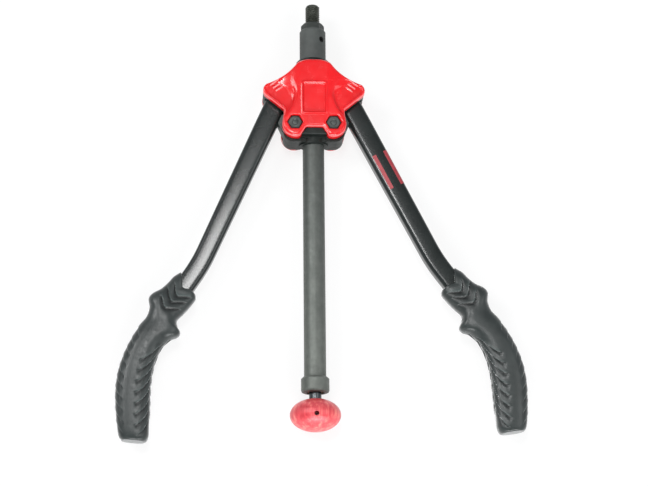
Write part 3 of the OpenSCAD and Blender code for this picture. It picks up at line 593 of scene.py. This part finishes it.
# Plain raised bars across both wings: capsules sunk into the field
def makeBars():
    c = cover
    along = coverLines(0)["shoulder"]
    across = Vector((-along.y, along.x))
    bm = bmesh.new()
    for side in (-1, 1):
        for k in range(c["barCount"]):
            middle = Vector(c["wingTip"]) - along * c["barInset"] + across * c["barPitch"] * (1 - k)
            stretch = (c["barLength"] - k) / 2 - c["barWidth"] / 2
            bar = bmesh.new()
            bmesh.ops.create_uvsphere(bar, u_segments=20, v_segments=10, radius=c["barWidth"] / 2)
            for vert in bar.verts:
                vert.co.x += math.copysign(stretch, vert.co.x) if abs(vert.co.x) > 1e-6 else 0
            bmesh.ops.scale(bar, vec=(1, 1, 2 * c["barHeight"] / c["barWidth"]), verts=bar.verts)
            turned = Matrix(((along.x, across.x, 0), (along.y, across.y, 0), (0, 0, 1)))
            bmesh.ops.transform(bar, matrix=turned.to_4x4(), verts=bar.verts)
            height = c["wingTop"] - c["fieldDip"] + 0.05
            bmesh.ops.translate(bar, vec=(middle.x, middle.y, height), verts=bar.verts)
            bmesh.ops.scale(bar, vec=(side, 1, 1), verts=bar.verts)
            joinMeshes(bm, bar)
    return finishPiece("coverBars", bm, barHighlightEnamel, 60)


frontCover = makeCover("frontCover", 1, 0.0, cover["grid"])
rearCover = makeCover("rearCover", -1, cover["rearLobeDrop"], cover["rearGrid"])
coverBars = makeBars()
for piece, node in ((frontCover, "front_cover"), (rearCover, "rear_cover")):
    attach(piece, "head")
    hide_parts(node)
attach(coverBars, "head")
print("covers made")

# Pivot bolts: forged hexagon heads with a dished top, turned down at the corners
bolt = {"acrossFlats": 11.0, "headTop": 19.0, "headHeight": 5.0, "dish": 2.6, "dishDepth": 0.6, "dishMiddle": 0.9,
        "turnedTo": 4.7, "turnedEdge": 0.12, "turnedFall": (0.55, 0.62), "shank": 4.0, "end": -18.2, "point": 0.8,
        "sides": 96}


def makeBolts():
    b = bolt
    top, seat = b["headTop"], b["headTop"] - b["headHeight"] + 0.02

    def corner(angle, inset, drop, fall):
        reach = hexReach(angle, b["acrossFlats"])
        return reach - inset, top - drop - (reach - b["turnedTo"]) * fall
    rows = [(b["dishMiddle"], top - b["dishDepth"] + 0.12), (b["dish"] - 0.5, top - b["dishDepth"]),
            (b["dish"] - 0.1, top - 0.25), (b["dish"] + 0.15, top), (b["turnedTo"], top),
            lambda a: corner(a, b["turnedEdge"], 0, b["turnedFall"][0]),
            lambda a: corner(a, 0, b["turnedEdge"], b["turnedFall"][1]),
            lambda a: (hexReach(a, b["acrossFlats"]), seat),
            (b["shank"], seat), (b["shank"], b["end"] + b["point"]), (b["shank"] - b["point"], b["end"])]
    bm = bmesh.new()
    for side in (-1, 1):
        middle = (side * cover["pivotX"], cover["pivotY"], 0)
        joinMeshes(bm, skinThroughRings(ringsAround(middle, rows, b["sides"])))
    return finishPiece("pivotBolts", bm, boltOxide, 25)


pivotBolts = makeBolts()
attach(pivotBolts, "head")
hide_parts("pivot_bolts")
print("bolts made")

# Mandrel with its M12 thread, and the nosepiece that it comes out of
nose = {"threadRadius": 6.0, "pitch": 1.75, "threadDepth": 0.95, "crest": 0.12, "flank": 0.72, "out": 16.5,
        "tip": 1.5, "tipFlat": 2.0, "shankRadius": 5.4, "shankEnd": -30.5, "ringStep": 0.2, "sides": 72,
        "acrossFlats": 17.0, "height": 6.0, "faceRadius": 7.4, "coneSlope": 0.8, "bore": 6.06,
        "neck": 8.08, "neckEnd": -20.0, "noseSides": 96}


def makeMandrel():
    n = nose

    def threadRow(y):
        def row(angle):
            turn = (y / n["pitch"] + angle / 360) % 1
            valley = min(max((abs(2 * turn - 1) - n["crest"]) / n["flank"], 0), 1)
            radius = n["threadRadius"] - n["threadDepth"] * valley
            # the tip is turned down to a cone
            return min(radius, n["threadRadius"] + n["out"] - n["tip"] - y), y
        return row
    # the plain shank, the thread, and the tip's flat end
    rows = [(n["shankRadius"], n["shankEnd"]), (n["shankRadius"], -0.05)]
    steps = int(n["out"] / n["ringStep"])
    rows += [threadRow(0.05 + (n["out"] - 0.25) * i / steps) for i in range(steps + 1)]
    rows += [(n["threadRadius"] - n["tip"] - 0.25, n["out"] - 0.05), (n["tipFlat"], n["out"])]
    bm = skinThroughRings(ringsAround((0, 0, 0), rows, n["sides"], "y"))
    return finishPiece("threadedMandrel", bm, blackOxide, 50)


def makeNosepiece():
    n = nose

    def reach(angle):
        return hexReach(angle, n["acrossFlats"])

    def turned(angle, shift):
        return reach(angle) - shift, -(reach(angle) - shift - n["faceRadius"]) * n["coneSlope"] - shift
    # up the bore, over the face and its cone, and down the hexagon and the neck
    rows = [(n["bore"], n["neckEnd"]), (n["bore"], -0.5), (n["bore"] + 0.4, -0.05), (n["bore"] + 0.5, 0),
            (n["faceRadius"] - 0.15, 0), (n["faceRadius"], -0.05),
            lambda a: turned(a, 0.15), lambda a: (reach(a), turned(a, 0)[1] - 0.25),
            lambda a: (reach(a), -n["height"] + 0.2), lambda a: (reach(a) - 0.2, -n["height"]),
            (n["neck"], -n["height"]), (n["neck"], n["neckEnd"]), (n["bore"], n["neckEnd"])]
    bm = skinThroughRings(ringsAround((0, 0, 0), rows, n["noseSides"], "y"), capEnds=False)
    bmesh.ops.remove_doubles(bm, verts=bm.verts, dist=1e-4)
    return finishPiece("hexNosepiece", bm, anvilOxide, 25)


threadedMandrel = makeMandrel()
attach(threadedMandrel, "spindle_unit")
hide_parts("mandrel")
hexNosepiece = makeNosepiece()
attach(hexNosepiece, "nose")
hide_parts("nosepiece")
print("nose made")

# Flat-sided steel tube of the arms, bent twice
armTube = {
    "leftOpen": 24.0, "rightOpen": 27.0,
    "offset": 22.7, "headWidth": 17.8, "width": 16.0, "height": 13.4, "wall": 1.5, "corner": 3.0,
    "crown": 0.3, "top": 12.0, "taperFrom": 10.0, "straightTo": 128.0, "bendOut": 10.0, "bendOutRadius": 130.0,
    "neck": 37.0, "bendBack": 37.0, "bendBackRadius": 150.0, "cornerSteps": 7, "bendSteps": (6, 16),
    # rings of the open top end: share of the wall that each lies in, and its depth
    "mouth": [(1, 9.0), (1, 0.4), (0.75, 0.1), (0.3, 0.1), (0, 0.5)],
}


# An arm's pivot, the way along it and the way out from the middle line
def armFrame(side):
    turn = math.radians(armTube["leftOpen"] if side < 0 else armTube["rightOpen"])
    pivot = Vector((side * cover["pivotX"], cover["pivotY"], 0))
    along = Vector((side * math.sin(turn), -math.cos(turn), 0))
    outward = Vector((side * math.cos(turn), math.sin(turn), 0))
    return pivot, along, outward


# A point on an arm: s along it, t out from it and z up
def armPoint(arm, s, t, z):
    pivot, along, outward = arm
    return pivot + along * s + outward * t + Vector((0, 0, z))


# Stations [along, out, heading] from the top to the end inside the grip
def armPath():
    a = armTube
    stations = [(place, a["offset"], 0.0) for place in (-a["top"], a["taperFrom"], a["straightTo"])]

    def turnTo(heading, radius, steps):
        s, t, h0 = stations[-1]
        way = math.copysign(1, heading - h0)
        for i in range(1, steps + 1):
            h = h0 + (heading - h0) * i / steps
            a0, a1 = math.radians(h0), math.radians(h)
            stations.append((s + way * radius * (math.sin(a1) - math.sin(a0)),
                             t - way * radius * (math.cos(a1) - math.cos(a0)), h))
    turnTo(a["bendOut"], a["bendOutRadius"], a["bendSteps"][0])
    s, t, h = stations[-1]
    stations.append((s + a["neck"] * math.cos(math.radians(h)), t + a["neck"] * math.sin(math.radians(h)), h))
    turnTo(a["bendOut"] - a["bendBack"], a["bendBackRadius"], a["bendSteps"][1])
    return stations


def armWidth(s):
    a = armTube
    share = min(1.0, max(0.0, (s - a["taperFrom"]) / (a["straightTo"] - a["taperFrom"])))
    return a["headWidth"] + (a["width"] - a["headWidth"]) * share


# The tube's section: round corners, and a top and bottom that bulge slightly
def roundSection(width, height, corner, steps, crown):
    points = []
    for cx, cy, start in ((-1, 1, 180), (1, 1, 90), (1, -1, 0), (-1, -1, -90)):
        for i in range(steps + 1):
            angle = math.radians(start - 90 * i / steps)
            points.append((cx * (width / 2 - corner) + corner * math.cos(angle),
                           cy * (height / 2 - corner) + corner * math.sin(angle)))
        if cx == -cy:
            reach = -cx * (width / 2 - corner)
            points += [(reach * (2 * k / steps - 1), cy * height / 2) for k in range(1, steps)]
    return [(x, y - math.copysign(crown * (2 * x / width) ** 2, y)) for x, y in points]


def makeArmTube(name, side):
    arm = armFrame(side)
    a = armTube

    def ring(station, shrink, shift=0.0):
        s, t, h = station
        h = math.radians(h)
        section = roundSection(armWidth(s) - 2 * shrink, a["height"] - 2 * shrink, a["corner"] - shrink,
                               a["cornerSteps"], a["crown"])
        return [armPoint(arm, s + shift - p * math.sin(h), t + p * math.cos(h), z) for p, z in section]
    path = armPath()
    rings = [ring(path[0], a["wall"] * share, depth) for share, depth in a["mouth"]]
    rings += [ring(station, 0.0) for station in path[1:]]
    return finishPiece(name, skinThroughRings(rings), armEnamel, 30)


leftTube = makeArmTube("leftArm", -1)
rightTube = makeArmTube("rightArm", 1)
for piece, node, body in ((leftTube, "left_arm_tube", "left_arm"), (rightTube, "right_arm_tube", "right_arm")):
    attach(piece, body)
    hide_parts(node)

# Two plain stripes of tape along the right arm
stripe = {"from": 37.5, "to": 69.5, "inner": (17.6, 20.9), "outer": 27.7, "edge": 0.04, "lift": 0.07,
          "depth": 0.3, "steps": 10}


def makeStripes():
    arm = armFrame(1)
    a = armTube

    # the tube's surface: a flat top with rounded corners
    def surface(s, t, lift):
        off = t - a["offset"]
        flatHalf = armWidth(s) / 2 - a["corner"]
        over = abs(off) - flatHalf
        fall = a["crown"] * (2 * off / armWidth(s)) ** 2
        if over <= 0:
            return t, a["height"] / 2 + lift - fall
        rise = math.sqrt(max(a["corner"] ** 2 - over ** 2, 0))
        share = (a["corner"] + lift) / a["corner"]
        return (a["offset"] + math.copysign(flatHalf + over * share, off),
                a["height"] / 2 - a["corner"] + rise * share - fall)
    bm = bmesh.new()
    for low, high in (stripe["inner"], (stripe["outer"], None)):
        rings = []
        for s in (stripe["from"], stripe["to"]):
            end = high or a["offset"] + armWidth(s) / 2 - stripe["edge"]
            places = [low + (end - low) * math.sin(math.pi / 2 * i / stripe["steps"])
                      for i in range(stripe["steps"] + 1)]
            section = [surface(s, t, stripe["lift"]) for t in places]
            section += [surface(s, t, -stripe["depth"]) for t in places[::-1]]
            rings.append([armPoint(arm, s, t, z) for t, z in section])
        joinMeshes(bm, skinThroughRings(rings))
    return finishPiece("armStripes", bm, vinyl, 30)


armStripes = makeStripes()
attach(armStripes, "right_arm")
print("arm tubes made")

# Moulded grips: rings round the arm, pushed in and out by chevrons and barbs
grip = {
    "start": 151.0, "sides": 128, "stepsPerKnot": 20, "square": 2.7,
    "tubeOut": 30.7, "tubeIn": 14.7, "tubeHalf": 6.7,
    # places along the grip and how far the rubber stands out from the tube there
    "outer": [(1, 4), (7, 7.7), (13, 9.5), (20, 12.5), (26.5, 17.3), (32, 18.3), (38.5, 14.6), (46, 13.6),
              (53.6, 15.5), (61, 16.5), (71, 17.4), (82, 17.4), (96, 15.7), (110, 11.5), (122, 5.9), (132, 0.4),
              (140.0, -4.5), (144.3, -7.9), (145.6, -10.4)],
    "inner": [(12, -0.5), (15, 0.6), (20, -0.2), (26, -1.6), (32, -3.5), (38.5, -5.7), (43.5, -3), (47, 0.9),
              (51, 0.2), (56, -4.5), (65, -7.7), (79, -7.1), (93, -3.6), (106, 1.6), (117, 6.3), (126, 10),
              (133.5, 13.1), (137.8, 13.1), (139.6, 11.8)],
    "half": [2.4, 2.9, 3.1, 3.3, 3.6, 3.8, 3.8, 4, 4.4, 4.8, 5.2, 5.4, 5.4, 5.2, 5, 4.8, 4.5, 3.8, 2.6],
    # mouth: how far its edge is cut back, by place across the grip, and where that has faded out
    "mouthAcross": [0.0, 0.16, 0.36, 0.5, 0.73, 1.0], "mouthBack": [0.0, 3.2, 9.2, 7.5, 4.0, 2.0],
    "mouthReach": 24.0,
    # extra rings of the mouth's lip and of the rounded end: size against the end ring, and shift
    "lip": [(0.72, 3.5), (0.78, 0.4), (0.9, -0.5)],
    "close": [(0.985, 0.03), (0.95, 0.07), (0.87, 0.09), (0.6, 0.1), (0.3, 0.1), (0.05, 0.1)],
    # steps: their lip's height and reach, and how sharply they drop
    "stepLip": 0.4, "lipReach": 1.5, "stepSharp": 0.28,
    # chevrons: [out, along] knots of each step's edge, smoothed by averaging at four places beside it
    "chevrons": [[(18.5, 169.1), (29.6, 173.8), (33.3, 163.0)], [(20.2, 174.6), (31.5, 179.6), (38.0, 168.6)],
                 [(21.9, 181.5), (34.0, 186.3), (39.8, 177.0)]],
    "chevronDepth": 1.6, "chevronFill": 2.7, "chevronSoft": (-1.8, -0.6, 0.6, 1.8),
    "chevronIn": (2.5, 1.5), "chevronOut": (1.5, 2.0), "chevronTop": (0.25, 0.7),
    # barbs on the inner and the outer edge: first one's place along the middle line, number, depth and sweep
    "barbFirst": 80.0, "barbCount": 8, "barbDepth": 1.4, "barbSweep": 26.0, "barbCurve": 1.35,
    "outerFirst": 61.0, "outerCount": 10, "outerDepth": 1.0, "outerSweep": 17.0, "outerMiddle": 0.3,
    "barbPitch": 9.0, "barbFill": 2.25, "barbFade": (0.02, 0.12), "outerFade": (0.26, 0.45),
    # no detail is cut this near the end and the mouth
    "calmEnd": 10.0, "calmMouth": 3.0,
}


# A step's height beside its edge: a small lip before it, then a drop that fills up again
def stepHeight(x, depth, fill):
    lip = grip["stepLip"] * depth * np.exp(np.minimum(x, 0) / grip["lipReach"])
    drop = -depth * np.exp(-np.maximum(x, 0) / fill)
    mix = 0.5 + 0.5 * np.tanh(x / grip["stepSharp"])
    return lip * (1 - mix) + drop * mix


def makeGrip(name, side):
    arm = armFrame(side)
    g = grip
    outer = [Vector((g["start"] + s, g["tubeOut"] + t)) for s, t in g["outer"]]
    inner = [Vector((g["start"] + s, g["tubeIn"] - t)) for s, t in g["inner"]]
    half = [g["tubeHalf"] + h for h in g["half"]]
    last = len(outer) - 1
    total = last * g["stepsPerKnot"]
    places = [last * i / total for i in range(total + 1)]
    outerAt, innerAt, halfAt = ([smoothCurve(knots, t) for t in places] for knots in (outer, inner, half))
    # length along the grip's middle line
    middles = [(o + i) / 2 for o, i in zip(outerAt, innerAt)]
    length = [0.0]
    for a, b in zip(middles, middles[1:]):
        length.append(length[-1] + (b - a).length)
    # a ring's points, from -1 to 1 across and up, and the way that the surface faces there
    angles = [2 * math.pi * k / g["sides"] for k in range(g["sides"])]
    power = 2 / g["square"]
    across = np.array([math.copysign(abs(math.cos(a)) ** power, math.cos(a)) for a in angles])
    upward = np.array([math.copysign(abs(math.sin(a)) ** power, math.sin(a)) for a in angles])
    facing = np.stack([np.sign(across) * np.abs(across) ** (g["square"] - 1),
                       np.sign(upward) * np.abs(upward) ** (g["square"] - 1)], 1)
    unit = np.linalg.norm(facing, axis=1)
    faceAcross, faceUp = facing[:, 0] / unit, facing[:, 1] / unit
    # from 0 on the flat's middle to 1 on the edge, and which edge it is
    around = np.array([abs(math.degrees(math.asin(max(-1, min(1, math.cos(a)))))) / 90 for a in angles])
    onInner = across < 0
    # the barbs' first place, number, depth, sweep round the grip and fading
    barbs = ((g["barbFirst"], g["barbCount"], g["barbDepth"], g["barbSweep"] * around ** g["barbCurve"],
              smoothStep(*g["barbFade"], around) * onInner),
             (g["outerFirst"], g["outerCount"], g["outerDepth"], g["outerSweep"] * (around - g["outerMiddle"]),
              smoothStep(*g["outerFade"], around) * (1 - onInner)))
    back = np.interp((1 - across) / 2, g["mouthAcross"], g["mouthBack"])
    onTop = smoothStep(*g["chevronTop"], np.abs(upward))
    rings, marks = [], []
    for o, i, h, a in zip(outerAt, innerAt, halfAt, length):
        m, u = (o + i) / 2, (o - i) / 2
        s = m.x + u.x * across + back * max(0.0, 1 - a / g["mouthReach"]) ** 1.5
        t = m.y + u.y * across
        # raised and sunk detail, in mm along the surface's normal
        lift = np.zeros(g["sides"])
        for chevron in g["chevrons"]:
            knotsT, knotsS = [k[0] for k in chevron], [k[1] for k in chevron]
            edge = sum(np.interp(t + d, knotsT, knotsS) for d in g["chevronSoft"]) / len(g["chevronSoft"])
            fade = smoothStep(knotsT[0] - g["chevronIn"][0], knotsT[0] + g["chevronIn"][1], t)
            fade = fade * (1 - smoothStep(knotsT[-1] - g["chevronOut"][0], knotsT[-1] + g["chevronOut"][1], t))
            lift += fade * onTop * stepHeight(s - edge, g["chevronDepth"], g["chevronFill"])
        for first, count, depth, sweep, fade in barbs:
            for k in range(count):
                lift += fade * stepHeight(a - (first + k * g["barbPitch"] - sweep), depth, g["barbFill"])
        lift = lift * (min(1.0, (length[-1] - a) / g["calmEnd"]) * min(1.0, a / g["calmMouth"]))
        direction = u.normalized()
        s = s + lift * faceAcross * direction.x
        t = t + lift * faceAcross * direction.y
        z = h * upward + lift * faceUp
        rings.append([armPoint(arm, *place) for place in zip(s, t, z)])
        marks.append([float(value) for value in lift])

    # the mouth's lip turns in to the tube, and the end closes over a rounded edge
    def shrunk(ring, share, shift):
        centre = sum(ring, Vector()) / g["sides"]
        return [centre + (p - centre) * share + shift for p in ring]
    lip = [shrunk(rings[0], share, arm[1] * shift) for share, shift in g["lip"]]
    endWay = (rings[-1][0] - rings[-3][0] + rings[-1][g["sides"] // 2] - rings[-3][g["sides"] // 2]).normalized()
    close = [shrunk(rings[-1], share, endWay * shift) for share, shift in g["close"]]
    plain = [0.0] * g["sides"]
    bm = skinThroughRings(lip + rings + close, marks=[plain] * len(lip) + marks + [plain] * len(close))
    return finishPiece(name, bm, gripRubber, 60)


leftGrip = makeGrip("leftGrip", -1)
rightGrip = makeGrip("rightGrip", 1)
for piece, node, body in ((leftGrip, "left_grip", "left_arm"), (rightGrip, "right_grip", "right_arm")):
    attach(piece, body)
    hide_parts(node)
print("grips made")

# A white card under the tool, a light tent with softboxes, and a camera high above
studio = {
    "floorSize": 6.0, "floorMiddle": -0.19, "floorHeight": -20.75, "floorColour": "#F2F2F1", "shadowShare": 0.8,
    # the tent is white where it meets the floor and darker overhead: height and level, and its tint
    "tent": [(0.0, 1.0), (0.2, 0.55), (1.0, 0.22)], "tentTint": (0.92, 0.95, 1.0),
}

# Place, aim, size and power in watts of each softbox
softboxes = {
    "keySoftbox": ((-0.95, 0.2, 1.15), (0, -0.2, 0), (0.6, 0.6), 11),
    "armSoftbox": ((-0.065, 0.07, 1.3), (-0.065, -0.2, 0), (0.16, 0.24), 4.1),
    "gripSoftbox": ((-0.2, -0.11, 1.3), (-0.13, -0.28, 0), (0.22, 0.28), 2.0),
    "fillSoftbox": ((0.9, -0.3, 1.1), (0, -0.2, 0), (0.8, 0.8), 5),
    "lowSoftbox": ((0.1, -1.25, 0.4), (0, -0.25, 0), (1.0, 0.4), 13),
}


def makeFloor():
    bm = bmesh.new()
    bmesh.ops.create_grid(bm, x_segments=1, y_segments=1, size=studio["floorSize"] / 2)
    bmesh.ops.translate(bm, verts=bm.verts, vec=(0, studio["floorMiddle"], studio["floorHeight"] * mm))
    mesh = toMesh("floor", bm)
    floor = addObject("floor", mesh)
    # Matt white card: takes a soft shadow, and shows as white from anywhere
    material, shader = newMaterial("whiteCard", {"Roughness": 0.9, "Base Color": hexColour(studio["floorColour"])})
    glow = addNode(material, "Emission", {"Color": (1, 1, 1, 1), "Strength": 1.0})
    rays = addNode(material, "LightPath")
    seen = rays.outputs["Is Camera Ray"]
    for kind in ("Is Glossy Ray", "Is Transmission Ray"):
        either = addNode(material, "Math", {"operation": "MAXIMUM"}, {0: seen, 1: rays.outputs[kind]})
        seen = either.outputs[0]
    share = addNode(material, "Math", {"operation": "MULTIPLY", 1: studio["shadowShare"]}, {0: seen})
    mix = addNode(material, "MixShader", {},
                  {"Fac": share.outputs[0], 1: shader.outputs[0], 2: glow.outputs[0]})
    plugIn(material, mix.outputs[0], material.node_tree.nodes["Material Output"].inputs["Surface"])
    mesh.materials.append(material)


def makeTent():
    world = bpy.data.worlds.new("studio")
    bpy.context.scene.world = world
    world.use_nodes = True
    place = addNode(world, "TexCoord")
    height = addNode(world, "SeparateXYZ", {}, {0: place.outputs["Generated"]})
    red, green, blue = studio["tentTint"]
    stops = [(up, (red * level, green * level, blue * level, 1)) for up, level in studio["tent"]]
    tent = addNode(world, "ValToRGB", {}, {"Fac": height.outputs["Z"]}, stops)
    plugIn(world, tent.outputs["Color"], world.node_tree.nodes["Background"].inputs["Color"])


def makeLight(name, place, target, size, power):
    lamp = bpy.data.lights.new(name, "AREA")
    lamp.shape = "RECTANGLE"
    lamp.size, lamp.size_y = size
    lamp.energy = power
    holder = addObject(name, lamp)
    holder.location = place
    holder.rotation_mode = "QUATERNION"
    holder.rotation_quaternion = (Vector(target) - Vector(place)).to_track_quat("-Z", "Y")


# Camera fitted to the photograph: place in mm, lens in mm, and its three angles in degrees
cameraFit = {"place": (-83.42, -580.94, 1445.99), "lens": 101.01, "sensor": 36, "lean": 15.0, "aside": 3.5,
             "roll": -0.5246, "near": 0.05, "far": 50}


def makeCamera():
    aside, lean, roll = (math.radians(cameraFit[k]) for k in ("aside", "lean", "roll"))
    back = Vector((-math.sin(aside), -math.sin(lean), 0))
    back.z = math.sqrt(1 - back.length_squared)
    up = (Vector((0, 1, 0)) + back * -back.y).normalized()
    right = back.cross(up) * -1
    rolledRight = right * math.cos(roll) + up * math.sin(roll)
    rolledUp = up * math.cos(roll) - right * math.sin(roll)
    camera = bpy.data.cameras.new("camera")
    camera.lens, camera.sensor_width = cameraFit["lens"], cameraFit["sensor"]
    camera.clip_start, camera.clip_end = cameraFit["near"], cameraFit["far"]
    holder = addObject("camera", camera)
    turned = Matrix((rolledRight, rolledUp, back)).transposed().to_4x4()
    turned.translation = Vector(cameraFit["place"]) * mm
    holder.matrix_world = turned
    bpy.context.scene.camera = holder


makeFloor()
makeTent()
for name, (place, target, size, power) in softboxes.items():
    makeLight(name, place, target, size, power)
makeCamera()
bpy.context.scene.view_settings.view_transform = "Standard"
print("studio made")
